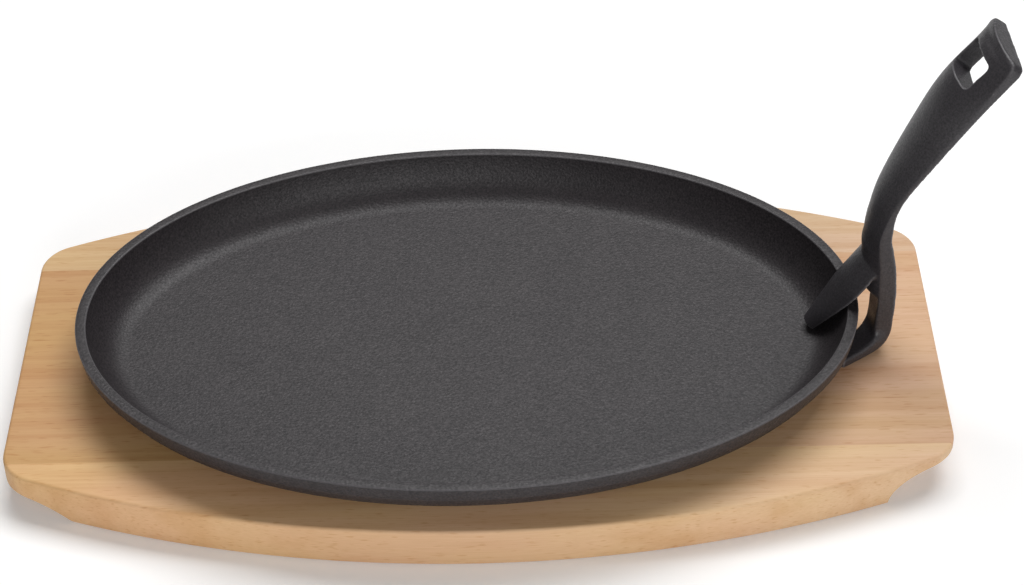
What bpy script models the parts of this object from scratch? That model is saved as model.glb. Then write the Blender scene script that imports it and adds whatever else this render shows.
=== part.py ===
"""Sizzle platter: an oval cast-iron pan on a glued wooden board, with a loose cast-iron gripper.

Metres, +Z up. The origin is the centre of the board's underside, on the table. The board's length
runs along X, and the gripper hooks over the pan's rim at the +X end.
"""
from math import atan2, cos, pi, radians, sin, sqrt, tan

import bmesh
import bpy
from mathutils import Matrix, Vector

# Board: outline, finger coves under both ends (the left one is flatter) and the oval recess for the pan
BOARD_LENGTH = 0.3306
BOARD_WIDTH = 0.1904
BOARD_END_WIDTH = 0.1212
BOARD_THICKNESS = 0.0155
BOARD_CORNER_RADIUS = 0.015
BOARD_EDGE_RADIUS = 0.0015
FRONT_STAVE_WIDTH = 0.0385
REAR_STAVE_WIDTH = 0.0457
RIGHT_COVE_HALF_LENGTH = 0.0224
RIGHT_COVE_HALF_HEIGHT = 0.0120
RIGHT_COVE_CROWN = 0.0120
LEFT_COVE_RADIUS = 0.0420
LEFT_COVE_CROWN = 0.0073
COVE_CROWN_INSET = 0.0018
RECESS_DEPTH = 0.003
RECESS_CLEARANCE = 0.005

# Pan: an oval whose rim, wall and foot keep an even width all round
PAN_LENGTH = 0.280
PAN_WIDTH = 0.190
PAN_DEPTH = 0.016
PAN_FLOOR = 0.004
FOOT_HEIGHT = 0.002
FOOT_INSET = 0.022
FOOT_WIDTH = 0.005
FOOT_DRAFT = 0.0007
RIM_WIDTH = 0.004
RIM_FACE = 0.006
RIM_DRAFT = 0.001
RIM_ROUND = 0.0007
WALL_RUN = 0.018
WALL_STEEP_RUN = 0.004
PAN_END_GAP = 0.00145

# Gripper: where it sits on the rim, and its tongue, which lies against the rim's inner edge and
# leans towards the rear
GRIPPER_TURN = radians(2.0)
TONGUE_SLOPE = radians(55)
TONGUE_REACH = 0.0182
TONGUE_CLIMB = 0.009
TONGUE_CLIMB_WIDTH = 0.0206
TONGUE_ROOT = 0.022
TONGUE_ROOT_WIDTH = 0.0160
TONGUE_ROOT_REARWARD = 0.0022
TONGUE_RIM_WIDTH = 0.019
TONGUE_RIM_REARWARD = 0.0005
TONGUE_TIP_WIDTH = 0.0078
TONGUE_TIP_REARWARD = 0.0010
TONGUE_EDGE = 0.0010
TONGUE_CROWN = 0.0050
TONGUE_TIP_CROWN = 0.0038

# Gripper's handle: width, height of its side edge and height of its crown at each place
GRIP_END_WIDTH = 0.0316
GRIP_WIDTH = 0.0308
GRIP_LOW_WIDTH = 0.0280
GRIP_ROOT_WIDTH = 0.0225
NECK_WIDTH = 0.0222
GRIP_END_EDGE = 0.0042
GRIP_EDGE = 0.0022
GRIP_LOW_EDGE = 0.0017
NECK_HIGH_EDGE = 0.0040
NECK_BEND_EDGE = 0.0052
NECK_EDGE = 0.0057
NECK_FOOT_EDGE = 0.0064
GRIP_END_CROWN = 0.0080
GRIP_CROWN = 0.0110
GRIP_LOW_CROWN = 0.0086
GRIP_ROOT_CROWN = 0.0065
NECK_HIGH_CROWN = 0.0070
NECK_BEND_CROWN = 0.0095
NECK_CROWN = 0.0103
NECK_FOOT_CROWN = 0.0108
GRIP_HOLLOW = 0.0020
GRIP_EDGE_FLAT = 0.0015
GRIP_CORNER_RADIUS = 0.0030
HOLE_LENGTH = 0.0113
HOLE_WIDTH = 0.0158
HOLE_TOP_WIDTH = 0.0195
HOLE_END_WALL = 0.0075
HOLE_CORNER_RADIUS = 0.0015

# Gripper's handle: its underside, as (outward from the rim's outer edge, up from the rim's top)
NECK_FOOT = (0.0122, 0.0040)
NECK_ANKLE = (0.0120, 0.0090)
NECK_LOW = (0.0113, 0.0177)
NECK_BEND = (0.0100, 0.0250)
NECK_HIGH = (0.0090, 0.0320)
GRIP_ROOT = (0.0112, 0.0454)
GRIP_LOW = (0.0213, 0.0648)
GRIP_MIDDLE = (0.0333, 0.0837)
GRIP_END = (0.0470, 0.1025)

# Gripper's hook leg, which goes down outside the rim and curls in under it: places as
# (outward from the rim's outer edge, across from the middle of the shin, up), and turns in plan
LEG_ROOT = (0.0088, 0.0050, 0.0140)
LEG_FLARE = (0.0090, 0.0042, 0.0045)
LEG_TOP = (0.0090, 0.0014, 0.0006)
LEG_SHIN = (0.0086, 0, -0.0038)
LEG_CALF = (0.0082, -0.0004, -0.0080)
LEG_BEND = (0.0070, -0.0013, 0.0051)
LEG_HEEL = (0.0040, -0.0033, 0.0023)
LEG_TOE = (-0.0011, -0.0070, 0.0008)
LEG_TIP = (-0.0078, -0.0136, 0)
LEG_SHIN_TURN = radians(-5)
LEG_BEND_TURN = radians(2)
LEG_HEEL_TURN = radians(20)
LEG_TURN = radians(33)
LEG_ROOT_WIDTH = 0.0214
LEG_FLARE_WIDTH = 0.0198
LEG_TOP_WIDTH = 0.0142
LEG_WIDTH = 0.0114
LEG_HEEL_WIDTH = 0.0106
LEG_TOE_WIDTH = 0.0085
LEG_TIP_WIDTH = 0.0045
LEG_ROOT_THICKNESS = 0.0050
LEG_FLARE_THICKNESS = 0.0062
LEG_TOP_THICKNESS = 0.0069
LEG_THICKNESS = 0.0075
LEG_HEEL_THICKNESS = 0.0058
LEG_TIP_THICKNESS = 0.0038
LEG_CORNER_RADIUS = 0.0009
LEG_STEP = 0.0002

# Fits
SEAT_GAP = 0.0003
GLUE_LINE = 0.0003
WALL_BOARD_GAP = 0.0005
LEG_BOARD_GAP = 0.0007

# Smoothness
OVAL_SIDES = 96
DOME_STEPS = 12
HOLLOW_STEPS = 6
SPAN_STEPS = 4
BEND_STEPS = 8
CORNER_STEPS = 5
HOLE_CORNER_STEPS = 3
LEG_CORNER_STEPS = 2
SHARP_ANGLE = radians(35)
CUT_MARGIN = 0.01

# Colours, linear
FRONT_WOOD = (0.60, 0.36, 0.17)
MIDDLE_WOOD = (0.52, 0.30, 0.15)
REAR_WOOD = (0.56, 0.33, 0.16)
PAN_IRON = (0.030, 0.029, 0.032)
GRIPPER_IRON = (0.028, 0.027, 0.030)

BOARD_TOP = BOARD_THICKNESS
PAN_HEIGHT = PAN_DEPTH + PAN_FLOOR + FOOT_HEIGHT
PAN_FOOT_Z = BOARD_TOP - RECESS_DEPTH + SEAT_GAP
PAN_RIM_Z = PAN_FOOT_Z + PAN_HEIGHT
PAN_X = PAN_END_GAP - RECESS_CLEARANCE


def make_material(name, colour, roughness, metallic=0.0):
    """A Principled BSDF material; the colour is linear RGB."""
    material = bpy.data.materials.new(name)
    material.use_nodes = True
    shader = material.node_tree.nodes["Principled BSDF"]
    shader.inputs["Base Color"].default_value = (*colour, 1.0)
    shader.inputs["Roughness"].default_value = roughness
    shader.inputs["Metallic"].default_value = metallic
    return material


def make_object(name, mesh, collection, material=None, smooth=True):
    """Wrap a mesh in an object of the given collection, shaded smooth across its round faces."""
    if smooth:
        mesh.shade_smooth()
        mesh.set_sharp_from_angle(angle=SHARP_ANGLE)
    thing = bpy.data.objects.new(name, mesh)
    if material:
        mesh.materials.append(material)
    collection.objects.link(thing)
    return thing


def make_cutter(name, mesh, collection):
    """An object that only shapes others: it is drawn as wire and never rendered."""
    cutter = make_object(name, mesh, collection, smooth=False)
    cutter.hide_render = True
    cutter.display_type = "WIRE"
    return cutter


def mesh_from(bm, name):
    """Close off a bmesh into a mesh."""
    bmesh.ops.recalc_face_normals(bm, faces=bm.faces)
    mesh = bpy.data.meshes.new(name)
    bm.to_mesh(mesh)
    bm.free()
    return mesh


def add_boolean(thing, cutter, operation):
    modifier = thing.modifiers.new(f"{operation.lower()} {cutter.name}", "BOOLEAN")
    modifier.operation = operation
    modifier.solver = "EXACT"
    modifier.object = cutter


def loft(name, sections):
    """Skin a run of closed sections, each with the same count of points, and cap both ends."""
    bm = bmesh.new()
    rings = []
    for section in sections:
        rings.append([bm.verts.new(point) for point in section])
    for lower, upper in zip(rings, rings[1:]):
        for i in range(len(lower)):
            j = (i + 1) % len(lower)
            bm.faces.new((lower[i], lower[j], upper[j], upper[i]))
    bm.faces.new(rings[0])
    bm.faces.new(rings[-1])
    return mesh_from(bm, name)


def bezier(start, control, end, steps):
    """Points along a quadratic Bezier arc, both ends included."""
    start, control, end = Vector(start), Vector(control), Vector(end)
    points = []
    for i in range(steps + 1):
        t = i / steps
        points.append(start * (1 - t) ** 2 + control * 2 * t * (1 - t) + end * t ** 2)
    return points


def smooth_run(stations, steps):
    """Values along a Catmull-Rom curve through the stations, each a list of numbers."""
    stations = [Vector(station) for station in stations]
    ends = [2 * stations[0] - stations[1], *stations, 2 * stations[-1] - stations[-2]]
    values = []
    for before, start, end, after in zip(ends, ends[1:], ends[2:], ends[3:]):
        for i in range(steps):
            t = i / steps
            values.append(0.5 * (2 * start + (end - before) * t
                                 + (2 * before - 5 * start + 4 * end - after) * t ** 2
                                 + (3 * start - before - 3 * end + after) * t ** 3))
    values.append(stations[-1])
    return values


def board_outline():
    """Half of the board's outline, from +X round to -X over the rear: bowed sides, round corners."""
    half_length = BOARD_LENGTH / 2
    rise = (BOARD_WIDTH - BOARD_END_WIDTH) / 2
    side_radius = (half_length ** 2 + rise ** 2) / (2 * rise)
    side_centre = BOARD_WIDTH / 2 - side_radius
    corner_x = half_length - BOARD_CORNER_RADIUS
    reach = side_radius - BOARD_CORNER_RADIUS
    corner_y = side_centre + sqrt(reach ** 2 - corner_x ** 2)
    meet = atan2(corner_y - side_centre, corner_x)
    points = []
    for i in range(CORNER_STEPS + 1):
        angle = meet * i / CORNER_STEPS
        x = corner_x + BOARD_CORNER_RADIUS * cos(angle)
        points.append((x, corner_y + BOARD_CORNER_RADIUS * sin(angle)))
    side_steps = OVAL_SIDES // 4
    for i in range(1, side_steps):
        angle = meet + (pi - 2 * meet) * i / side_steps
        points.append((side_radius * cos(angle), side_centre + side_radius * sin(angle)))
    for i in range(CORNER_STEPS, -1, -1):
        angle = meet * i / CORNER_STEPS
        x = -corner_x - BOARD_CORNER_RADIUS * cos(angle)
        points.append((x, corner_y + BOARD_CORNER_RADIUS * sin(angle)))
    return points


def make_board_blank(cutters):
    """The whole board before the staves are told apart: an outline extruded with rounded edges."""
    rear = board_outline()
    outline = rear + [(x, -y) for x, y in reversed(rear)]
    curve = bpy.data.curves.new("board outline", "CURVE")
    curve.dimensions = "2D"
    curve.fill_mode = "BOTH"
    curve.extrude = BOARD_THICKNESS / 2 - BOARD_EDGE_RADIUS
    curve.bevel_depth = BOARD_EDGE_RADIUS
    curve.bevel_resolution = 1
    curve.offset = -BOARD_EDGE_RADIUS
    spline = curve.splines.new("POLY")
    spline.points.add(len(outline) - 1)
    for point, (x, y) in zip(spline.points, outline):
        point.co = (x, y, 0, 1)
    spline.use_cyclic_u = True
    drawn = bpy.data.objects.new("board outline", curve)
    bpy.context.scene.collection.objects.link(drawn)
    graph = bpy.context.evaluated_depsgraph_get()
    solid = bpy.data.meshes.new_from_object(drawn.evaluated_get(graph))
    bpy.data.objects.remove(drawn)
    bm = bmesh.new()
    bm.from_mesh(solid)
    bmesh.ops.remove_doubles(bm, verts=bm.verts, dist=0.00001)
    bmesh.ops.translate(bm, verts=bm.verts, vec=(0, 0, BOARD_THICKNESS / 2))
    return make_cutter("board_blank", mesh_from(bm, "board blank"), cutters)


def make_recess(cutters):
    """The oval pocket that the pan's foot stands in."""
    half_length = PAN_LENGTH / 2 - FOOT_INSET + RECESS_CLEARANCE
    half_width = PAN_WIDTH / 2 - FOOT_INSET + RECESS_CLEARANCE
    depth = RECESS_DEPTH + CUT_MARGIN
    bm = bmesh.new()
    bmesh.ops.create_cone(bm, cap_ends=True, segments=OVAL_SIDES, radius1=1, radius2=1, depth=depth)
    bmesh.ops.scale(bm, vec=(half_length, half_width, 1), verts=bm.verts)
    bmesh.ops.translate(bm, vec=(0, 0, BOARD_TOP - RECESS_DEPTH + depth / 2), verts=bm.verts)
    return make_cutter("recess", mesh_from(bm, "recess"), cutters)


def make_cove(name, end, half_length, half_height, crown, cutters):
    """The hollow for the fingers under one end, along the whole width; end is 1 or -1.

    It is part of an oval tunnel, and crown is how high the tunnel's top lies over the table.
    """
    bm = bmesh.new()
    bmesh.ops.create_cone(bm, cap_ends=True, segments=OVAL_SIDES, radius1=1, radius2=1,
                          depth=BOARD_WIDTH + 2 * CUT_MARGIN)
    bmesh.ops.rotate(bm, matrix=Matrix.Rotation(pi / 2, 3, "X"), verts=bm.verts)
    bmesh.ops.scale(bm, vec=(half_length, 1, half_height), verts=bm.verts)
    crown_x = end * (BOARD_LENGTH / 2 - COVE_CROWN_INSET)
    bmesh.ops.translate(bm, vec=(crown_x, 0, crown - half_height), verts=bm.verts)
    return make_cutter(name, mesh_from(bm, name), cutters)


def make_staves(parts, cutters):
    """Three staves side by side, cut to the board's outline, its recess and its coves."""
    blank = make_board_blank(cutters)
    recess = make_recess(cutters)
    right = (RIGHT_COVE_HALF_LENGTH, RIGHT_COVE_HALF_HEIGHT, RIGHT_COVE_CROWN)
    left = (LEFT_COVE_RADIUS, LEFT_COVE_RADIUS, LEFT_COVE_CROWN)
    coves = [make_cove("cove_right", 1, *right, cutters), make_cove("cove_left", -1, *left, cutters)]
    front_edge = -BOARD_WIDTH / 2
    front_glue = front_edge + FRONT_STAVE_WIDTH
    rear_glue = BOARD_WIDTH / 2 - REAR_STAVE_WIDTH
    spans = {
        "board_stave_front": (front_edge - CUT_MARGIN, front_glue - GLUE_LINE / 2, FRONT_WOOD),
        "board_stave_middle": (front_glue + GLUE_LINE / 2, rear_glue - GLUE_LINE / 2, MIDDLE_WOOD),
        "board_stave_rear": (rear_glue + GLUE_LINE / 2, BOARD_WIDTH / 2 + CUT_MARGIN, REAR_WOOD),
    }
    for name, (low, high, colour) in spans.items():
        bm = bmesh.new()
        bmesh.ops.create_cube(bm, size=1)
        size = (BOARD_LENGTH + 2 * CUT_MARGIN, high - low, BOARD_THICKNESS + 2 * CUT_MARGIN)
        bmesh.ops.scale(bm, vec=size, verts=bm.verts)
        bmesh.ops.translate(bm, vec=(0, (low + high) / 2, BOARD_THICKNESS / 2), verts=bm.verts)
        wood = make_material(name.replace("_", " ") + " oiled beech", colour, 0.5)
        stave = make_object(name, mesh_from(bm, name), parts, wood)
        add_boolean(stave, blank, "INTERSECT")
        add_boolean(stave, recess, "DIFFERENCE")
        for cove in coves:
            add_boolean(stave, cove, "DIFFERENCE")


def pan_profile():
    """The pan's section as (inset from the rim's outer edge, height over the foot), floor to foot ring."""
    floor_z = PAN_HEIGHT - PAN_DEPTH
    flange_z = PAN_HEIGHT - RIM_FACE
    shoulder_z = RECESS_DEPTH - SEAT_GAP + WALL_BOARD_GAP
    inner = bezier((WALL_RUN, floor_z), (RIM_WIDTH + WALL_STEEP_RUN, floor_z),
                   (RIM_WIDTH, PAN_HEIGHT - RIM_ROUND), BEND_STEPS)
    outer_start = RIM_DRAFT + RIM_ROUND
    outer = bezier((outer_start, flange_z), (outer_start + WALL_STEEP_RUN + RIM_DRAFT, shoulder_z),
                   (FOOT_INSET, shoulder_z), BEND_STEPS)
    rim = [(RIM_WIDTH - RIM_ROUND, PAN_HEIGHT), (RIM_ROUND, PAN_HEIGHT), (0, PAN_HEIGHT - RIM_ROUND),
           (RIM_DRAFT, flange_z + RIM_ROUND)]
    foot = [(FOOT_INSET + FOOT_DRAFT, 0), (FOOT_INSET + FOOT_WIDTH - FOOT_DRAFT, 0),
            (FOOT_INSET + FOOT_WIDTH, FOOT_HEIGHT)]
    return [*inner, *rim, *outer, *foot]


def oval(inset, height):
    """A ring of points round the pan, a given way in from the rim's outer edge."""
    points = []
    for i in range(OVAL_SIDES):
        angle = 2 * pi * i / OVAL_SIDES
        points.append((cos(angle) * (PAN_LENGTH / 2 - inset), sin(angle) * (PAN_WIDTH / 2 - inset), height))
    return points


def make_pan(parts, iron):
    mesh = loft("pan", [oval(inset, height) for inset, height in pan_profile()])
    pan = make_object("pan", mesh, parts, iron)
    pan.location = (PAN_X, 0, PAN_FOOT_Z)


def domed_section(place, along, width, edge, crown, hollow, rearward):
    """A D-shaped section across a bar: hollowed underside, low side edges and an arched top.

    Place and along lie in the gripper's own upright plane, as (outward, up), and rearward is how
    far the section's middle lies behind that plane. The section's top faces the side that is a
    quarter turn left of along.
    """
    out = Vector((-along[1], along[0]))
    half = width / 2
    rise = crown - edge
    radius = (half ** 2 + rise ** 2) / (2 * rise)
    spread = 2 * atan2(rise, half)
    shape = [(-half, 0)]
    inner = half - GRIP_EDGE_FLAT
    for i in range(HOLLOW_STEPS + 1):
        reach = 2 * i / HOLLOW_STEPS - 1
        shape.append((inner * reach, hollow * (1 - reach ** 2)))
    shape.append((half, 0))
    for i in range(DOME_STEPS + 1):
        angle = spread * (1 - 2 * i / DOME_STEPS)
        shape.append((radius * sin(angle), crown - radius + radius * cos(angle)))
    points = []
    for across, lift in shape:
        points.append((place[0] + out[0] * lift, rearward + across, place[1] + out[1] * lift))
    return points


def rounded_end(end, before, corner):
    """Stations that narrow a bar by a quarter circle on both sides over its last stretch."""
    along = Vector(end[:2]) - Vector(before[:2])
    along.normalize()
    stations = []
    for i in range(CORNER_STEPS + 1):
        angle = pi / 2 * i / CORNER_STEPS
        station = end.copy()
        back = along * corner * (1 - sin(angle))
        station[0] -= back[0]
        station[1] -= back[1]
        station[2] -= 2 * corner * (1 - cos(angle))
        stations.append(station)
    return stations


def domed_bar(name, stations, corner=0):
    """A bar along a curved line of stations.

    Each station is (outward, up, width, edge height, crown height, hollow, rearward), and the bar's
    last end has its corners rounded in plan by the corner radius.
    """
    run = smooth_run(stations, SPAN_STEPS)
    if corner:
        run += rounded_end(run.pop(), run[-1], corner)
    sections = []
    for i, station in enumerate(run):
        ahead = run[min(i + 1, len(run) - 1)]
        behind = run[max(i - 1, 0)]
        along = Vector(ahead[:2]) - Vector(behind[:2])
        along.normalize()
        sections.append(domed_section(station[:2], along, *station[2:]))
    return loft(name, sections)


def rim_drop(half_width):
    """How far the rim's end curve falls back over a half width across the gripper."""
    end_radius = (PAN_WIDTH / 2) ** 2 / (PAN_LENGTH / 2)
    return half_width ** 2 / (2 * end_radius)


def tongue_line(climb):
    """A place on the tongue's underside, a given way up the slope from the rim's inner edge."""
    away = Vector((-sin(TONGUE_SLOPE), cos(TONGUE_SLOPE)))
    reach_across = TONGUE_RIM_WIDTH / 2 + TONGUE_RIM_REARWARD
    rim_edge = Vector((-RIM_WIDTH - rim_drop(reach_across), 0)) + away * SEAT_GAP
    return rim_edge + Vector((cos(TONGUE_SLOPE), sin(TONGUE_SLOPE))) * climb


def tongue_stations():
    """The tongue: its underside passes just clear of the rim's inner edge and stops over the floor."""
    tip = tongue_line(-TONGUE_REACH)
    return [(*tip, TONGUE_TIP_WIDTH, TONGUE_EDGE, TONGUE_TIP_CROWN, 0, TONGUE_TIP_REARWARD),
            (*tongue_line(0), TONGUE_RIM_WIDTH, TONGUE_EDGE, TONGUE_CROWN, 0, TONGUE_RIM_REARWARD),
            (*tongue_line(TONGUE_CLIMB), TONGUE_CLIMB_WIDTH, TONGUE_EDGE, TONGUE_CROWN, 0, 0),
            (*tongue_line(TONGUE_ROOT), TONGUE_ROOT_WIDTH, TONGUE_EDGE, TONGUE_CROWN, 0,
             TONGUE_ROOT_REARWARD)]


def handle_stations():
    """The handle from the foot of its neck, just over the rim, to its square end."""
    return [(*NECK_FOOT, NECK_WIDTH, NECK_FOOT_EDGE, NECK_FOOT_CROWN, 0, 0),
            (*NECK_ANKLE, NECK_WIDTH, NECK_FOOT_EDGE, NECK_FOOT_CROWN, 0, 0),
            (*NECK_LOW, NECK_WIDTH, NECK_EDGE, NECK_CROWN, 0, 0),
            (*NECK_BEND, NECK_WIDTH, NECK_BEND_EDGE, NECK_BEND_CROWN, 0, 0),
            (*NECK_HIGH, NECK_WIDTH, NECK_HIGH_EDGE, NECK_HIGH_CROWN, 0, 0),
            (*GRIP_ROOT, GRIP_ROOT_WIDTH, GRIP_LOW_EDGE, GRIP_ROOT_CROWN, 0, 0),
            (*GRIP_LOW, GRIP_LOW_WIDTH, GRIP_LOW_EDGE, GRIP_LOW_CROWN, GRIP_HOLLOW, 0),
            (*GRIP_MIDDLE, GRIP_WIDTH, GRIP_EDGE, GRIP_CROWN, GRIP_HOLLOW, 0),
            (*GRIP_END, GRIP_END_WIDTH, GRIP_END_EDGE, GRIP_END_CROWN, 0, 0)]


def leg_section(station, along):
    """A rounded oblong across the leg, level from side to side; the last value is its turn in plan."""
    outward, across, up, width, thickness, turn = station
    side = Vector((-sin(turn), cos(turn), 0))
    face = side.cross(along).normalized()
    centre = Vector((outward, across, up))
    points = []
    for x_sign, y_sign, start in ((1, 1, 0), (-1, 1, 1), (-1, -1, 2), (1, -1, 3)):
        for i in range(LEG_CORNER_STEPS + 1):
            angle = (start + i / LEG_CORNER_STEPS) * pi / 2
            x = x_sign * (width / 2 - LEG_CORNER_RADIUS) + LEG_CORNER_RADIUS * cos(angle)
            y = y_sign * (thickness / 2 - LEG_CORNER_RADIUS) + LEG_CORNER_RADIUS * sin(angle)
            points.append(centre + side * x + face * y)
    return points


def leg_stations():
    """The leg's centre line, from inside the neck, down past the rim and in under it.

    Its upper places are counted up from the rim's top, and its lower ones from where its tip lies.
    """
    front = -NECK_WIDTH / 2 + LEG_STEP + LEG_WIDTH / 2
    tip_up = BOARD_TOP - PAN_RIM_Z + LEG_BOARD_GAP + LEG_TIP_THICKNESS / 2
    full = (LEG_WIDTH, LEG_THICKNESS)
    route = [(LEG_ROOT, 0, (LEG_ROOT_WIDTH, LEG_ROOT_THICKNESS), 0),
             (LEG_FLARE, 0, (LEG_FLARE_WIDTH, LEG_FLARE_THICKNESS), 0),
             (LEG_TOP, 0, (LEG_TOP_WIDTH, LEG_TOP_THICKNESS), 0),
             (LEG_SHIN, 0, full, LEG_SHIN_TURN),
             (LEG_CALF, 0, full, LEG_SHIN_TURN),
             (LEG_BEND, tip_up, full, LEG_BEND_TURN),
             (LEG_HEEL, tip_up, (LEG_HEEL_WIDTH, LEG_HEEL_THICKNESS), LEG_HEEL_TURN),
             (LEG_TOE, tip_up, (LEG_TOE_WIDTH, LEG_TIP_THICKNESS), LEG_TURN),
             (LEG_TIP, tip_up, (LEG_TIP_WIDTH, LEG_TIP_THICKNESS), LEG_TURN)]
    stations = []
    for (outward, across, up), base, size, turn in route:
        stations.append((outward, front + across, base + up, *size, turn))
    return stations


def make_leg(name):
    run = smooth_run(leg_stations(), SPAN_STEPS)
    sections = []
    for i, station in enumerate(run):
        ahead = run[min(i + 1, len(run) - 1)]
        behind = run[max(i - 1, 0)]
        along = (Vector(ahead[:3]) - Vector(behind[:3])).normalized()
        sections.append(leg_section(station, along))
    return loft(name, sections)


def make_hanging_hole(cutters):
    """The slot through the handle's end, wider on the domed side, square to the grip's last stretch."""
    along = (Vector(GRIP_END) - Vector(GRIP_MIDDLE)).normalized()
    centre = Vector(GRIP_END) - along * (HOLE_END_WALL + HOLE_LENGTH / 2)
    depth = 3 * GRIP_CROWN
    spread = (HOLE_TOP_WIDTH / HOLE_WIDTH - 1) / GRIP_CROWN
    bm = bmesh.new()
    bmesh.ops.create_cube(bm, size=1)
    bmesh.ops.scale(bm, vec=(HOLE_LENGTH, HOLE_WIDTH, depth), verts=bm.verts)
    for vert in bm.verts:
        vert.co.y *= 1 + spread * vert.co.z
    upright = [edge for edge in bm.edges if abs(edge.verts[0].co.z - edge.verts[1].co.z) > depth / 2]
    bmesh.ops.bevel(bm, geom=upright, offset=HOLE_CORNER_RADIUS, segments=HOLE_CORNER_STEPS, profile=0.5,
                    affect="EDGES")
    bmesh.ops.rotate(bm, matrix=Matrix.Rotation(-atan2(along[1], along[0]), 3, "Y"), verts=bm.verts)
    bmesh.ops.translate(bm, vec=(centre[0], 0, centre[1]), verts=bm.verts)
    return make_cutter("hanging_hole", mesh_from(bm, "hanging hole"), cutters)


def make_gripper_seat(parts):
    """An empty on the rim's outer edge, turned square to it: outward is its own +X."""
    seat = bpy.data.objects.new("gripper_seat", None)
    parts.objects.link(seat)
    outward = PAN_X + PAN_LENGTH / 2 * cos(GRIPPER_TURN)
    seat.location = (outward, PAN_WIDTH / 2 * sin(GRIPPER_TURN), PAN_RIM_Z)
    seat.rotation_euler = (0, 0, atan2(PAN_LENGTH * tan(GRIPPER_TURN), PAN_WIDTH))
    return seat


def make_gripper(parts, cutters, iron):
    """One casting: handle, tongue and leg joined, with the hanging hole through the handle's end."""
    seat = make_gripper_seat(parts)
    handle = domed_bar("gripper", handle_stations(), GRIP_CORNER_RADIUS)
    gripper = make_object("gripper", handle, parts, iron)
    tongue = make_cutter("tongue_shape", domed_bar("tongue", tongue_stations()), cutters)
    leg = make_cutter("leg_shape", make_leg("leg"), cutters)
    hole = make_hanging_hole(cutters)
    for piece in (gripper, tongue, leg, hole):
        piece.parent = seat
    for piece in (tongue, leg):
        add_boolean(gripper, piece, "UNION")
    add_boolean(gripper, hole, "DIFFERENCE")


def main():
    for thing in list(bpy.data.objects):
        bpy.data.objects.remove(thing)
    parts = bpy.data.collections.new("sizzle platter")
    cutters = bpy.data.collections.new("cutters")
    for collection in (parts, cutters):
        bpy.context.scene.collection.children.link(collection)
    iron = make_material("seasoned cast iron", PAN_IRON, 0.55, 0.6)
    gripper_iron = make_material("seasoned cast iron of the gripper", GRIPPER_IRON, 0.5, 0.6)
    make_staves(parts, cutters)
    make_pan(parts, iron)
    make_gripper(parts, cutters, gripper_iron)


main()
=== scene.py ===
from math import atan2, cos, pi, radians, sin, sqrt

import bmesh
import bpy
from mathutils import Matrix, Vector


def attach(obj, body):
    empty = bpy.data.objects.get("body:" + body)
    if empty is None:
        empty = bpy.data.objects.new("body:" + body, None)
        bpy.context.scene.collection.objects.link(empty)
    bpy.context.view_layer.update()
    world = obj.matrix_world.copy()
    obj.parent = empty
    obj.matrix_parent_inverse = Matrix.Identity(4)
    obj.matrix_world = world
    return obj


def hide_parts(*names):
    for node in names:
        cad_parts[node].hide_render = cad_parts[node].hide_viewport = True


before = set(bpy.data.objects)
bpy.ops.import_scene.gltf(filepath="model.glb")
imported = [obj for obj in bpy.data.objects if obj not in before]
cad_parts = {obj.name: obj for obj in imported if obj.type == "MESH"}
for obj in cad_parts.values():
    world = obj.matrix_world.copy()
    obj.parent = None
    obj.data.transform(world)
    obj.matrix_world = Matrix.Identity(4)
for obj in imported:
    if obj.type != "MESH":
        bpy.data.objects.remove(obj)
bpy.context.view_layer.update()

# Board
# Three beech staves, glued edge to edge, planed and sanded, then cut to bowed sides with round corners.
# A cutter has sunk the oval recess that holds the pan. A cove under each end takes the fingers: a deep one
# at the right and a flatter one at the left.
board_length = 0.3306
board_width = 0.1904
board_end_width = 0.1212
board_thickness = 0.0155
board_corner_radius = 0.015
board_edge_radius = 0.0012
corner_steps = 14
bow_steps = 96
edge_steps = 4
front_glue_y = -0.0567
rear_glue_y = 0.0495
glue_line = 0.00002
# A cove is (end of the board, half length of its round, half height of its round, height of its crown)
coves = ((1, 0.0224, 0.0120, 0.0120), (-1, 0.0420, 0.0420, 0.0073))
cove_crown_inset = 0.0018
cove_sides = 256
recess_length = 0.246
recess_width = 0.156
recess_depth = 0.003
recess_edge = 0.0006
recess_sides = 192
cutter_margin = 0.01
wood_arris = 30


def mesh_object(name, bm):
    """Turn a finished bmesh into an object of the scene."""
    mesh = bpy.data.meshes.new(name)
    bm.to_mesh(mesh)
    bm.free()
    thing = bpy.data.objects.new(name, mesh)
    bpy.context.scene.collection.objects.link(thing)
    return thing


def made_solid(thing):
    """Apply an object's modifiers to its mesh for good."""
    graph = bpy.context.evaluated_depsgraph_get()
    mesh = bpy.data.meshes.new_from_object(thing.evaluated_get(graph))
    thing.modifiers.clear()
    thing.data = mesh


def cut_away(thing, cutters):
    """Cut the cutters out of an object, as the real tool does."""
    for cutter in cutters:
        cut = thing.modifiers.new(cutter.name, "BOOLEAN")
        cut.operation = "DIFFERENCE"
        cut.solver = "EXACT"
        cut.object = cutter
    made_solid(thing)


def parts_of(geometry, kind):
    """The vertices or edges among an operator's results."""
    return [part for part in geometry if isinstance(part, kind)]


def turned(bm, start, centre, angle, steps):
    """Sweep a vertex about an upright axis and return the last one."""
    swept = bmesh.ops.spin(bm, geom=[start], cent=centre, axis=(0, 0, 1), angle=angle, steps=steps)
    return parts_of(swept["geom_last"], bmesh.types.BMVert)[0]


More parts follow.
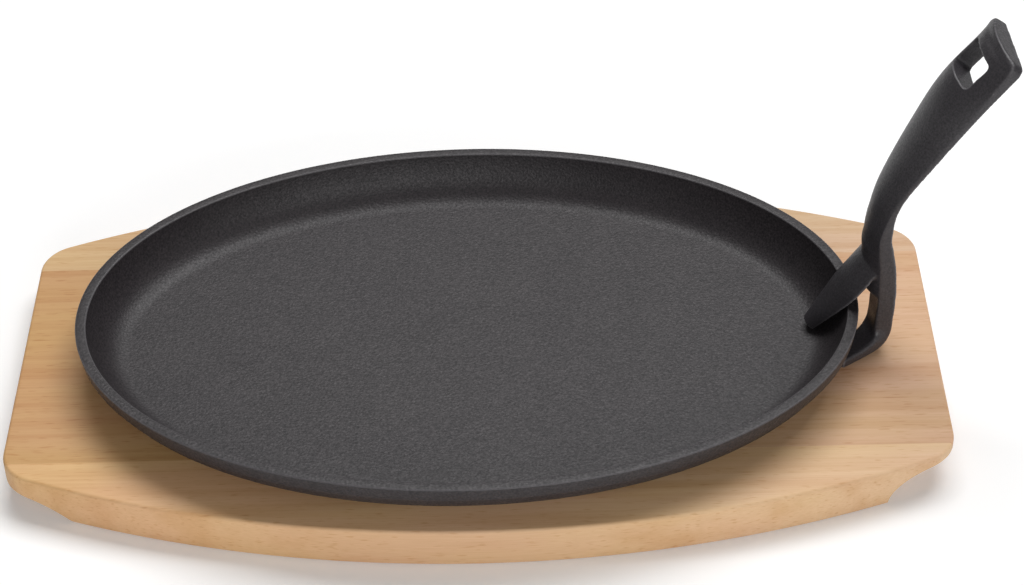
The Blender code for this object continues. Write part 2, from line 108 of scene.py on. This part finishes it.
half_length = board_length / 2
bow_rise = (board_width - board_end_width) / 2
bow_radius = (half_length ** 2 + bow_rise ** 2) / (2 * bow_rise)
bow_centre = board_width / 2 - bow_radius
corner_x = half_length - board_corner_radius
corner_y = bow_centre + sqrt((bow_radius - board_corner_radius) ** 2 - corner_x ** 2)
corner_turn = atan2(corner_y - bow_centre, corner_x)
blank = bmesh.new()
pencil = blank.verts.new((half_length, corner_y, 0))
pencil = turned(blank, pencil, (corner_x, corner_y, 0), corner_turn, corner_steps)
pencil = turned(blank, pencil, (0, bow_centre, 0), pi - 2 * corner_turn, bow_steps)
pencil = turned(blank, pencil, (-corner_x, corner_y, 0), corner_turn, corner_steps)
bmesh.ops.mirror(blank, geom=blank.verts[:] + blank.edges[:], axis="Y", merge_dist=0)
ends = [vert for vert in blank.verts if len(vert.link_edges) == 1]
for side in (1, -1):
    blank.edges.new([vert for vert in ends if vert.co.x * side > 0])
outline = bmesh.ops.contextual_create(blank, geom=blank.edges[:])["faces"]
raised = bmesh.ops.extrude_face_region(blank, geom=outline)["geom"]
bmesh.ops.translate(blank, verts=parts_of(raised, bmesh.types.BMVert), vec=(0, 0, board_thickness))
bmesh.ops.recalc_face_normals(blank, faces=blank.faces)
arrises = [edge for edge in blank.edges if abs(edge.verts[0].co.z - edge.verts[1].co.z) < 1e-6]
bmesh.ops.bevel(blank, geom=arrises, offset=board_edge_radius, segments=edge_steps, profile=0.5,
                affect="EDGES", material=-1)

cutters = []
for side, half_reach, half_rise, crown in coves:
    cove = bmesh.new()
    bmesh.ops.create_cone(cove, cap_ends=True, segments=cove_sides, radius1=1, radius2=1,
                          depth=board_width + 2 * cutter_margin)
    bmesh.ops.rotate(cove, matrix=Matrix.Rotation(pi / 2, 3, "X"), verts=cove.verts)
    bmesh.ops.scale(cove, vec=(half_reach, 1, half_rise), verts=cove.verts)
    cove_place = (side * (half_length - cove_crown_inset), 0, crown - half_rise)
    bmesh.ops.translate(cove, vec=cove_place, verts=cove.verts)
    cutters.append(mesh_object("cove_cutter", cove))

recess = bmesh.new()
bmesh.ops.create_circle(recess, cap_ends=True, segments=recess_sides, radius=1)
bmesh.ops.scale(recess, vec=(recess_length / 2, recess_width / 2, 1), verts=recess.verts)
bmesh.ops.translate(recess, vec=(0, 0, board_thickness - recess_depth), verts=recess.verts)
ring = recess.edges[:]
recess_steps = ((1, recess_depth - recess_edge), (1 + recess_edge / (recess_width / 2), recess_edge),
                (1, cutter_margin))
for spread, rise in recess_steps:
    grown = bmesh.ops.extrude_edge_only(recess, edges=ring)["geom"]
    ring = parts_of(grown, bmesh.types.BMEdge)
    bmesh.ops.scale(recess, vec=(spread, spread, 1), verts=parts_of(grown, bmesh.types.BMVert))
    bmesh.ops.translate(recess, vec=(0, 0, rise), verts=parts_of(grown, bmesh.types.BMVert))
bmesh.ops.contextual_create(recess, geom=ring)
bmesh.ops.recalc_face_normals(recess, faces=recess.faces)
cutters.append(mesh_object("recess_cutter", recess))

staves = {}
stave_spans = {"board_stave_front": (None, front_glue_y - glue_line / 2),
               "board_stave_middle": (front_glue_y + glue_line / 2, rear_glue_y - glue_line / 2),
               "board_stave_rear": (rear_glue_y + glue_line / 2, None)}
for node, span in stave_spans.items():
    stave = blank.copy()
    for glue_y, facing in zip(span, (-1, 1)):
        if glue_y is not None:
            sawn = bmesh.ops.bisect_plane(stave, geom=stave.verts[:] + stave.edges[:] + stave.faces[:],
                                          plane_co=(0, glue_y, 0), plane_no=(0, facing, 0), clear_outer=True)
            bmesh.ops.contextual_create(stave, geom=parts_of(sawn["geom_cut"], bmesh.types.BMEdge))
    bmesh.ops.recalc_face_normals(stave, faces=stave.faces)
    staves[node] = mesh_object(node + "_wood", stave)
    cut_away(staves[node], cutters)
blank.free()
for cutter in cutters:
    bpy.data.objects.remove(cutter)


def shade_round(thing, degrees):
    """Shade smooth over the round faces and keep arrises of more than these degrees sharp."""
    thing.data.shade_smooth()
    thing.data.set_sharp_from_angle(angle=radians(degrees))


def linear(colour):
    """An sRGB hex colour as linear RGBA."""
    values = [int(colour[i:i + 2], 16) / 255 for i in (1, 3, 5)]
    return (*(v / 12.92 if v <= 0.04045 else ((v + 0.055) / 1.055) ** 2.4 for v in values), 1)


def set_inputs(node, inputs):
    """Set or link a node's inputs, each given by its name, or by its number where two share a name.

    A value that is a node stands for that node's own output.
    """
    for key, value in inputs.items():
        if isinstance(key, str):
            key = next(i for i, socket in enumerate(node.inputs) if socket.enabled and socket.name == key)
        if isinstance(value, bpy.types.Node):
            value = next(socket for socket in value.outputs if socket.enabled)
        if isinstance(value, bpy.types.NodeSocket):
            node.id_data.links.new(value, node.inputs[key])
        else:
            node.inputs[key].default_value = value


def add_node(tree, kind, inputs=None, stops=(), **settings):
    """Add a node with its settings and inputs, and give a ramp's two ends their (place, colour)."""
    node = tree.nodes.new("ShaderNode" + kind)
    for key, value in settings.items():
        setattr(node, key, value)
    for i, (place, colour) in enumerate(stops):
        element = node.color_ramp.elements[i]
        element.position = place
        element.color = linear(colour)
    set_inputs(node, inputs or {})
    return node


def beech(name, left, right, line_shade, seed):
    """Steamed European beech, sanded fine and rubbed with oil.

    To the eye it is a smooth pinkish tan with very faint straight lines, short ray flecks and a soft
    sheen. The colour drifts from the left end of the stave to the right end, and this drift is painted light:
    the left end is yellower and darker, the right end paler and pinker, where more light fell.
    """
    material = bpy.data.materials.new(name)
    material.use_nodes = True
    tree = material.node_tree
    shader = tree.nodes["Principled BSDF"]
    place = add_node(tree, "TexCoord").outputs["Object"]
    along = add_node(tree, "SeparateXYZ", {"Vector": place}).outputs["X"]
    # Painted light: the colour drifts from a yellower, darker left end to a paler, pinker right end, as the
    # light fell
    painted_light_drift = add_node(tree, "MapRange",
                     {"Value": along, "From Min": -board_length / 2, "From Max": board_length / 2})
    tone_with_painted_light = add_node(tree, "Mix", {"Factor": painted_light_drift, "A": linear(left), "B": linear(right)}, data_type="RGBA")
    # Growth lines 4 mm apart and 120 mm long, bent a little. Real ones are 2 to 4 mm apart
    line_place = add_node(tree, "Mapping",
                          {"Vector": place, "Location": (seed, 0, 0), "Scale": (8, 250, 90)})
    lines = add_node(tree, "TexNoise", {"Vector": line_place, "Scale": 1, "Detail": 2, "Distortion": 0.15})
    line_tone = add_node(tree, "ValToRGB", {"Fac": lines}, [(0.42, "#ffffff"), (0.78, line_shade)])
    # Fibre 25 mm long. It is drawn 0.5 mm wide, a few times its real width, so that it shows
    fibre_place = add_node(tree, "Mapping",
                           {"Vector": place, "Location": (0, seed, 0), "Scale": (40, 2000, 2000)})
    fibre = add_node(tree, "TexNoise", {"Vector": fibre_place, "Scale": 1, "Detail": 2})
    fibre_tone = add_node(tree, "ValToRGB", {"Fac": fibre}, [(0.3, "#f9f6f2"), (0.65, "#ffffff")])
    # Ray flecks 5 mm long and 0.6 mm wide, about the size of the largest real ones
    fleck_place = add_node(tree, "Mapping",
                           {"Vector": place, "Location": (seed, 0, seed), "Scale": (200, 1600, 1600)})
    flecks = add_node(tree, "TexNoise", {"Vector": fleck_place, "Scale": 1, "Detail": 0})
    fleck_tone = add_node(tree, "ValToRGB", {"Fac": flecks}, [(0.66, "#ffffff"), (0.82, "#f1e5d9")])
    # Pink and yellow clouds 25 mm wide and 80 mm long
    cloud_place = add_node(tree, "Mapping",
                           {"Vector": place, "Location": (seed, seed, 0), "Scale": (12, 40, 40)})
    clouds = add_node(tree, "TexNoise", {"Vector": cloud_place, "Scale": 1, "Detail": 2})
    cloud_tone = add_node(tree, "ValToRGB", {"Fac": clouds}, [(0.35, "#fff9ec"), (0.65, "#fff4f4")])
    toned = tone_with_painted_light
    for tone in (line_tone, fibre_tone, fleck_tone, cloud_tone):
        toned = add_node(tree, "Mix", {"Factor": 1, "A": toned, "B": tone}, data_type="RGBA",
                         blend_type="MULTIPLY")
    # The oil leaves the hard fibre glossier than the soft wood between
    dull = add_node(tree, "MapRange", {"Value": fibre, "To Min": 0.62, "To Max": 0.52})
    relief = add_node(tree, "Bump", {"Height": fibre, "Distance": 0.00003, "Strength": 0.4})
    set_inputs(shader, {"Base Color": toned, "Roughness": dull, "Normal": relief,
                        "Specular IOR Level": 0.35})
    return material


# The two end colours hold painted light: the left end yellower and darker, the right end paler, as the light
# fell
# Each is (material, colour at the left end, colour at the right end, shade of its lines, seed, slot)
stave_finishes = {
    "board_stave_front": ("oiled beech front stave", "#e5c08f", "#e3c6a4", "#f1e6da", 3.1, "beech_front"),
    "board_stave_middle": ("oiled beech middle stave", "#d2ac7a", "#dbbb9b", "#efe2d5", 7.7, "beech_middle"),
    "board_stave_rear": ("oiled beech rear stave", "#dfc297", "#dac1a2", "#f1e6da", 12.9, "beech_rear")}
for node, stave in staves.items():
    shade_round(stave, wood_arris)
    *finish, slot = stave_finishes[node]
    stave.data.materials.append(beech(*finish))
    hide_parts(node)
    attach(stave, "board")

# Pan
# One oval casting in grey iron with an even rim, a hollow-curved wall, a flat floor and a foot ring.
# It is sand-cast, shot-blasted and baked with oil, and it stands loose in the board's recess.
pan_length = 0.280
pan_width = 0.190
pan_height = 0.022
pan_floor_height = 0.006
pan_foot_z = 0.0128
pan_x = -0.00355
pan_sides = 256
rim_width = 0.004
rim_face = 0.006
rim_draft = 0.001
rim_round = 0.0007
rim_face_high_inset = 0.0001
rim_face_low_inset = 0.0008
round_steps = 4
wall_run = 0.018
wall_steep_run = 0.004
wall_inner_steps = 24
wall_outer_steps = 20
shoulder_height = 0.0032
foot_inset = 0.022
foot_width = 0.005
foot_height = 0.002
foot_draft = 0.0007
foot_round = 0.0003
iron_arris = 40
iron_gloss_spread = 0.08


def arc(start, control, end, steps):
    """Points on a quadratic arc after its start, up to its end."""
    start, control, end = Vector(start), Vector(control), Vector(end)
    places = [i / steps for i in range(1, steps + 1)]
    return [start * (1 - t) ** 2 + control * 2 * t * (1 - t) + end * t ** 2 for t in places]


flange_height = pan_height - rim_face
outer_start = rim_draft + rim_round
inner_top = (rim_width, pan_height - rim_round)
face_high = (rim_face_high_inset, pan_height - rim_round)
face_low = (rim_face_low_inset, flange_height + rim_round)
# The section runs from the floor over the rim to the foot, as (inset from the rim's outer edge, height)
pan_section = [(wall_run, pan_floor_height)]
pan_section += arc(pan_section[-1], (rim_width + wall_steep_run, pan_floor_height), inner_top,
                   wall_inner_steps)
pan_section += arc(inner_top, (rim_width, pan_height), (rim_width - rim_round, pan_height), round_steps)
pan_section += [(rim_round, pan_height)]
pan_section += arc(pan_section[-1], (0, pan_height), face_high, round_steps)
pan_section += [face_low]
pan_section += arc(face_low, (rim_draft, flange_height), (outer_start, flange_height), round_steps)
pan_section += arc(pan_section[-1], (outer_start + wall_steep_run + rim_draft, shoulder_height),
                   (foot_inset, shoulder_height), wall_outer_steps)
pan_section += [(foot_inset + foot_draft, foot_round), (foot_inset + foot_draft + foot_round, 0),
                (foot_inset + foot_width - foot_draft - foot_round, 0),
                (foot_inset + foot_width - foot_draft, foot_round), (foot_inset + foot_width, foot_height)]

casting = bmesh.new()
bmesh.ops.create_circle(casting, cap_ends=True, segments=pan_sides, radius=1)
bmesh.ops.scale(casting, vec=(pan_length / 2 - wall_run, pan_width / 2 - wall_run, 1), verts=casting.verts)
bmesh.ops.translate(casting, vec=(0, 0, pan_floor_height), verts=casting.verts)
ring = casting.edges[:]
for (inset, height), (next_inset, next_height) in zip(pan_section, pan_section[1:]):
    grown = bmesh.ops.extrude_edge_only(casting, edges=ring)["geom"]
    ring = parts_of(grown, bmesh.types.BMEdge)
    spread = ((pan_length / 2 - next_inset) / (pan_length / 2 - inset),
              (pan_width / 2 - next_inset) / (pan_width / 2 - inset), 1)
    bmesh.ops.scale(casting, vec=spread, verts=parts_of(grown, bmesh.types.BMVert))
    bmesh.ops.translate(casting, vec=(0, 0, next_height - height), verts=parts_of(grown, bmesh.types.BMVert))
bmesh.ops.contextual_create(casting, geom=ring)
bmesh.ops.recalc_face_normals(casting, faces=casting.faces)
bmesh.ops.translate(casting, vec=(pan_x, 0, pan_foot_z), verts=casting.verts)
pan = mesh_object("pan_casting", casting)
shade_round(pan, iron_arris)


def cast_iron(name, dark, light, grain, relief_height, roughness, worn, sheen):
    """Grey iron from a sand mould, shot-blasted and baked black with oil.

    To the eye it is a soft black with an even pebbled grain, a dull sheen that is a little clearer on
    the tops of the grains, cloudy patches where the oil has pooled, and greyer metal along worn edges.
    """
    material = bpy.data.materials.new(name)
    material.use_nodes = True
    tree = material.node_tree
    shader = tree.nodes["Principled BSDF"]
    place = add_node(tree, "TexCoord").outputs["Object"]
    # Grains and pits are drawn at about twice their real size, so that they show
    grains = add_node(tree, "TexNoise", {"Vector": place, "Scale": 1 / grain, "Detail": 3, "Roughness": 0.6})
    pits = add_node(tree, "TexVoronoi", {"Vector": place, "Scale": 0.8 / grain})
    # Patches of pooled oil about 20 mm wide
    clouds = add_node(tree, "TexNoise", {"Vector": place, "Scale": 50, "Detail": 3})
    cloud_tone = add_node(tree, "ValToRGB", {"Fac": clouds}, [(0.3, "#e8e6e9"), (0.7, "#ffffff")])
    grain_tone = add_node(tree, "MapRange", {"Value": grains, "From Min": 0.35, "From Max": 0.7})
    skin = add_node(tree, "Mix", {"Factor": grain_tone, "A": linear(dark), "B": linear(light)},
                    data_type="RGBA")
    clouded = add_node(tree, "Mix", {"Factor": 1, "A": skin, "B": cloud_tone}, data_type="RGBA",
                       blend_type="MULTIPLY")
    # Wear starts where the skin bulges by 0.3 per millimetre, and is full where it bulges by 0.9
    bulge = add_node(tree, "Attribute", attribute_name="bulge").outputs["Fac"]
    edge = add_node(tree, "MapRange", {"Value": bulge, "From Min": 0.3, "From Max": 0.9, "To Max": worn})
    bare = add_node(tree, "Mix", {"Factor": edge, "A": clouded, "B": linear("#8a878a")}, data_type="RGBA")
    # The tops of the grains are glossier than the pits between
    dull = add_node(tree, "MapRange", {"Value": grains, "From Min": 0.3, "From Max": 0.7,
                                       "To Min": roughness + iron_gloss_spread,
                                       "To Max": roughness - iron_gloss_spread})
    heights = add_node(tree, "Math", {0: grains, 1: pits.outputs["Distance"]}, operation="ADD")
    relief = add_node(tree, "Bump", {"Height": heights, "Distance": relief_height, "Strength": 1})
    set_inputs(shader, {"Base Color": bare, "Roughness": dull, "Normal": relief, "Specular IOR Level": sheen})
    return material


def mark_bulge(thing, rounds):
    """Write how sharply the skin bulges, per millimetre, for the wear on outer edges.

    Each round evens the values out between neighbours.
    """
    bm = bmesh.new()
    bm.from_mesh(thing.data)
    values = []
    for vert in bm.verts:
        steps = [edge.other_vert(vert).co - vert.co for edge in vert.link_edges]
        bends = [-2 * vert.normal.dot(step) / step.length_squared for step in steps]
        values.append(sum(bends) / len(steps) / 1000)
    around = [[edge.other_vert(vert).index for edge in vert.link_edges] for vert in bm.verts]
    for _ in range(rounds):
        values = [(values[i] + sum(values[j] for j in near)) / (1 + len(near))
                  for i, near in enumerate(around)]
    bm.free()
    thing.data.attributes.new("bulge", "FLOAT", "POINT").data.foreach_set("value", values)


mark_bulge(pan, 0)
pan.data.materials.append(cast_iron("seasoned sand-cast iron", dark="#211e20", light="#3e393b",
                                    grain=0.0008, relief_height=0.00007, roughness=0.5, worn=0.28,
                                    sheen=0.37))
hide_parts("pan")
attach(pan, "pan")

# Gripper
# A loose handle, cast in one piece from the same iron: a domed grip with a hanging hole, a neck, a tongue
# that goes over the rim into the pan, and a hook leg that goes down outside the rim and in under it.
gripper_turn = radians(2)
tongue_slope = radians(55)
tongue_width_at_rim = 0.019
tongue_rearward_at_rim = 0.0005
tongue_gap = 0.0003
tongue_reach = 0.0182
tongue_root = 0.022
neck_width = 0.022
grip_edge_flat = 0.0015
grip_corner = 0.003
grip_corner_steps = 8
hollow_steps = 16
dome_steps = 48
bar_steps = 10
hole_length = 0.0113
hole_width = 0.0158
hole_top_width = 0.0195
hole_end_wall = 0.0075
hole_corner = 0.0015
hole_corner_steps = 6
grip_end_crown = 0.0080
hole_depth = 0.0108
grip_middle = (0.0333, 0.0837)
grip_end = (0.0470, 0.1025)
leg_tip_thickness = 0.0038
leg_board_gap = 0.0007
leg_steps = 8
leg_corner_steps = 6
cast_voxel = 0.0004
cast_easing = 0.5
cast_easing_rounds = 10
bulge_rounds = 3
# Places along each bar are (outward from the rim's outer edge, up from the rim's top, width, height of
# the side edge, height of the crown, hollow of the underside, rearward of the gripper's own middle)
handle_places = [(0.0120, 0.0036, 0.0216, 0.0060, 0.0104, 0, 0),
                 (0.0122, 0.0056, 0.0222, 0.0063, 0.0108, 0, 0),
                 (0.0120, 0.0090, 0.0222, 0.0062, 0.0106, 0, 0),
                 (0.0113, 0.0177, 0.0221, 0.0057, 0.0103, 0, 0),
                 (0.0100, 0.0250, neck_width, 0.0052, 0.0095, 0, 0),
                 (0.0090, 0.0320, neck_width, 0.0040, 0.0070, 0, 0),
                 (0.0112, 0.0454, 0.0225, 0.0017, 0.0065, 0, 0),
                 (0.0213, 0.0648, 0.0280, 0.0017, 0.0086, 0.002, 0),
                 (*grip_middle, 0.0308, 0.0022, 0.0110, 0.002, 0),
                 (*grip_end, 0.0316, 0.0042, grip_end_crown, 0, 0)]


def smooth_run(places, steps):
    """Values along a smooth curve through the places."""
    places = [Vector(place) for place in places]
    ends = [2 * places[0] - places[1], *places, 2 * places[-1] - places[-2]]
    values = []
    for before, start, end, after in zip(ends, ends[1:], ends[2:], ends[3:]):
        for t in [i / steps for i in range(steps)]:
            values.append(0.5 * (2 * start + (end - before) * t
                                 + (2 * before - 5 * start + 4 * end - after) * t ** 2
                                 + (3 * start - before - 3 * end + after) * t ** 3))
    values.append(places[-1])
    return values


def bar(sections):
    """A bar of iron: a ring of points that is extruded from section to section, and capped."""
    bm = bmesh.new()
    corners = bmesh.ops.create_circle(bm, segments=len(sections[0]), radius=1, cap_ends=True)["verts"]
    ring = bm.edges[:]
    for section in sections:
        if section is not sections[0]:
            grown = bmesh.ops.extrude_edge_only(bm, edges=ring)["geom"]
            ring = parts_of(grown, bmesh.types.BMEdge)
            fresh = set(parts_of(grown, bmesh.types.BMVert))
            corners = [next(edge.other_vert(vert) for edge in vert.link_edges
                            if edge.other_vert(vert) in fresh) for vert in corners]
        for vert, place in zip(corners, section):
            vert.co = place
    bmesh.ops.contextual_create(bm, geom=ring)
    bmesh.ops.recalc_face_normals(bm, faces=bm.faces)
    return bm


def domed_section(station, along):
    """Across a domed bar: a hollowed underside, low side edges and an arched top."""
    outward, up, width, edge, crown, hollow, rearward = station
    lift_way = Vector((-along[1], along[0]))
    half = width / 2
    rise = crown - edge
    radius = (half ** 2 + rise ** 2) / (2 * rise)
    spread = 2 * atan2(rise, half)
    shape = [(-half, 0)]
    for t in [2 * i / hollow_steps - 1 for i in range(hollow_steps + 1)]:
        shape.append(((half - grip_edge_flat) * t, hollow * (1 - t ** 2)))
    shape.append((half, 0))
    for angle in [spread * (1 - 2 * i / dome_steps) for i in range(dome_steps + 1)]:
        shape.append((radius * sin(angle), crown - radius + radius * cos(angle)))
    return [(outward + lift_way[0] * lift, rearward + across, up + lift_way[1] * lift)
            for across, lift in shape]


def domed_bar(places, corner=0):
    """A domed bar along its places, with the corners of its last end rounded in plan."""
    run = smooth_run(places, bar_steps)
    if corner:
        end = run.pop()
        back = Vector(end[:2]) - Vector(run[-1][:2])
        back.normalize()
        while (Vector(end[:2]) - Vector(run[-1][:2])).length < corner:
            run.pop()
        for angle in [pi / 2 * i / grip_corner_steps for i in range(grip_corner_steps + 1)]:
            station = end.copy()
            station[0] -= back[0] * corner * (1 - sin(angle))
            station[1] -= back[1] * corner * (1 - sin(angle))
            station[2] -= 2 * corner * (1 - cos(angle))
            run.append(station)
    sections = []
    for i, station in enumerate(run):
        along = Vector(run[min(i + 1, len(run) - 1)][:2]) - Vector(run[max(i - 1, 0)][:2])
        sections.append(domed_section(station, along.normalized()))
    return bar(sections)


def on_tongue(climb):
    """A place on the tongue's underside, a given way up the slope from the rim's inner edge."""
    end_radius = (pan_width / 2) ** 2 / (pan_length / 2)
    rim_drop = (tongue_width_at_rim / 2 + tongue_rearward_at_rim) ** 2 / (2 * end_radius)
    away = Vector((-sin(tongue_slope), cos(tongue_slope))) * tongue_gap
    return Vector((-rim_width - rim_drop, 0)) + away + Vector((cos(tongue_slope), sin(tongue_slope))) * climb


tongue_places = [(*on_tongue(-tongue_reach), 0.0078, 0.0010, 0.0036, 0, 0.0010),
                 (*on_tongue(0), tongue_width_at_rim, 0.0007, 0.0048, 0, tongue_rearward_at_rim),
                 (*on_tongue(0.009), 0.0206, 0.0007, 0.0052, 0, 0),
                 (*on_tongue(tongue_root), 0.0200, 0.0009, 0.0050, 0, 0.0002)]

# The leg's places are (outward, rearward, up, width, thickness, turn in plan, corner radius)
leg_low = board_thickness - pan_foot_z - pan_height + leg_board_gap + leg_tip_thickness / 2
leg_places = [(0.0088, 0, 0.0140, 0.0214, 0.0050, 0, 0.0004),
              (0.0090, -0.0002, 0.0075, 0.0216, 0.0062, 0, 0.0004),
              (0.0089, -0.0011, 0.0045, 0.0200, 0.0062, 0, 0.0004),
              (0.0087, -0.0040, 0.0006, 0.0142, 0.0064, radians(2), 0.0006),
              (0.0083, -0.0053, -0.0038, 0.0117, 0.0066, radians(4), 0.0010),
              (0.0081, -0.0054, -0.0078, 0.0116, 0.0067, radians(4), 0.0012),
              (0.0075, -0.0060, -0.0112, 0.0114, 0.0068, radians(7), 0.0015),
              (0.0052, -0.0078, leg_low + 0.0026, 0.0111, 0.0063, radians(16), 0.0016),
              (0.0006, -0.0112, leg_low + 0.0010, 0.0098, 0.0048, radians(28), 0.0014),
              (-0.0040, -0.0150, leg_low + 0.0002, 0.0074, leg_tip_thickness, radians(33), 0.0010),
              (-0.0084, -0.0189, leg_low, 0.0050, leg_tip_thickness, radians(33), 0.0010)]
leg_run = smooth_run(leg_places, leg_steps)
leg_sections = []
for i, station in enumerate(leg_run):
    outward, rearward, up, width, thickness, turn, corner = station
    along = Vector(leg_run[min(i + 1, len(leg_run) - 1)][:3]) - Vector(leg_run[max(i - 1, 0)][:3])
    across = Vector((-sin(turn), cos(turn), 0))
    face = across.cross(along).normalized()
    section = []
    for x_sign, y_sign, start in ((1, 1, 0), (-1, 1, 1), (-1, -1, 2), (1, -1, 3)):
        for angle in [(start + i / leg_corner_steps) * pi / 2 for i in range(leg_corner_steps + 1)]:
            x = x_sign * (width / 2 - corner) + corner * cos(angle)
            y = y_sign * (thickness / 2 - corner) + corner * sin(angle)
            section.append(Vector((outward, rearward, up)) + across * x + face * y)
    leg_sections.append(section)
leg = bar(leg_sections)

grip_way = (Vector(grip_end) - Vector(grip_middle)).normalized()
hole_centre = Vector(grip_end) - grip_way * (hole_end_wall + hole_length / 2)
hole = bmesh.new()
bmesh.ops.create_cube(hole, size=1)
bmesh.ops.scale(hole, vec=(hole_length, hole_width, 3 * hole_depth), verts=hole.verts)
for vert in hole.verts:
    vert.co.y *= 1 + (hole_top_width / hole_width - 1) / hole_depth * vert.co.z
uprights = [edge for edge in hole.edges if abs(edge.verts[0].co.z - edge.verts[1].co.z) > hole_depth]
bmesh.ops.bevel(hole, geom=uprights, offset=hole_corner, segments=hole_corner_steps, profile=0.5,
                affect="EDGES", material=-1)
bmesh.ops.rotate(hole, matrix=Matrix.Rotation(-atan2(grip_way[1], grip_way[0]), 3, "Y"), verts=hole.verts)
bmesh.ops.translate(hole, vec=(hole_centre[0], 0, hole_centre[1]), verts=hole.verts)
hole_cutter = mesh_object("hole_cutter", hole)

gripper = mesh_object("gripper_casting", domed_bar(handle_places, grip_corner))
cut_away(gripper, [hole_cutter])
bpy.data.objects.remove(hole_cutter)
casting = bmesh.new()
casting.from_mesh(gripper.data)
for piece in (domed_bar(tongue_places), leg):
    loose = bpy.data.meshes.new("loose")
    piece.to_mesh(loose)
    piece.free()
    casting.from_mesh(loose)
heading = atan2(pan_length * sin(gripper_turn), pan_width * cos(gripper_turn))
bmesh.ops.rotate(casting, matrix=Matrix.Rotation(heading, 3, "Z"), verts=casting.verts)
seat = (pan_x + pan_length / 2 * cos(gripper_turn), pan_width / 2 * sin(gripper_turn),
        pan_foot_z + pan_height)
bmesh.ops.translate(casting, vec=seat, verts=casting.verts)
casting.to_mesh(gripper.data)
casting.free()
fused = gripper.modifiers.new("fused", "REMESH")
fused.mode = "VOXEL"
fused.voxel_size = cast_voxel
eased = gripper.modifiers.new("eased", "SMOOTH")
eased.factor = cast_easing
eased.iterations = cast_easing_rounds
made_solid(gripper)
gripper.data.shade_smooth()
mark_bulge(gripper, bulge_rounds)
gripper.data.materials.append(cast_iron("seasoned cast iron of the gripper", dark="#2d2b2e",
                                        light="#434043", grain=0.0007, relief_height=0.00005, roughness=0.45,
                                        worn=0.35, sheen=0.5))
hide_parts("gripper")
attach(gripper, "gripper")

# Floor
# A plain sheet of pale paper that the board stands on, wide enough to fill the picture.
# The camera and the glossy iron see it a little brighter than the lamps make it, so that it reads as white
# and still shows the board's shadow.
floor_reach = 3
floor_drop = 0.0002
paper_glow_strength = 0.12
ground = bmesh.new()
bmesh.ops.create_grid(ground, x_segments=1, y_segments=1, size=floor_reach)
bmesh.ops.translate(ground, vec=(0, 0, -floor_drop), verts=ground.verts)
floor = mesh_object("floor", ground)
paper = bpy.data.materials.new("pale floor paper")
paper.use_nodes = True
paper_tree = paper.node_tree
paper_rays = add_node(paper_tree, "LightPath").outputs
seen = add_node(paper_tree, "Math", {0: paper_rays["Is Camera Ray"], 1: paper_rays["Is Glossy Ray"]},
                operation="MAXIMUM")
paper_glow = add_node(paper_tree, "Math", {0: seen, 1: paper_glow_strength}, operation="MULTIPLY")
set_inputs(paper_tree.nodes["Principled BSDF"],
           {"Base Color": linear("#fafafa"), "Roughness": 0.9, "Emission Color": linear("#ffffff"),
            "Emission Strength": paper_glow})
floor.data.materials.append(paper)

# Light
# Soft studio light. A wide panel hangs above and behind the board, and lights the wood and the rim.
# A weaker panel stands low in front and lights the front edges, and even grey air fills the shadows.


def light_panel(name, place, size, power):
    """A soft rectangular lamp that faces the middle of the board."""
    lamp = bpy.data.lights.new(name, "AREA")
    lamp.shape = "RECTANGLE"
    lamp.size, lamp.size_y = size
    lamp.energy = power
    thing = bpy.data.objects.new(name, lamp)
    bpy.context.scene.collection.objects.link(thing)
    thing.location = place
    thing.rotation_euler = (-Vector(place)).to_track_quat("-Z", "Y").to_euler()


light_panel("back_panel", place=(0.35, 1.0, 2.0), size=(2.0, 1.2), power=48)
light_panel("front_panel", place=(0.5, -2.0, 0.75), size=(1.8, 0.8), power=21)

air = bpy.context.scene.world or bpy.data.worlds.new("studio air")
bpy.context.scene.world = air
air.use_nodes = True
air_tree = air.node_tree
air_tree.nodes.clear()
grey_air = add_node(air_tree, "Background", {"Color": linear("#ffffff"), "Strength": 0.15})
add_node(air_tree, "OutputWorld", {"Surface": grey_air})

# Camera
# It stands 0.72 m in front of the board's middle and 0.63 m up, and looks down by 39.5 degrees, with a
# long lens and a slight tilt, as in the photograph.
camera_place = (0.020045, -0.716935, 0.631555)
camera_pitch = radians(39.5)
camera_yaw = radians(-0.566)
camera_roll = radians(-1.705)
camera_lens = 91.655
camera = bpy.data.objects.new("camera", bpy.data.cameras.new("camera"))
bpy.context.scene.collection.objects.link(camera)
camera.data.lens = camera_lens
camera.data.clip_start = 0.05
camera.data.clip_end = 20
camera.matrix_world = (Matrix.Translation(camera_place) @ Matrix.Rotation(-camera_yaw, 4, "Z")
                       @ Matrix.Rotation(pi / 2 - camera_pitch, 4, "X")
                       @ Matrix.Rotation(camera_roll, 4, "Z"))
bpy.context.scene.camera = camera
bpy.context.scene.view_settings.view_transform = "Standard"
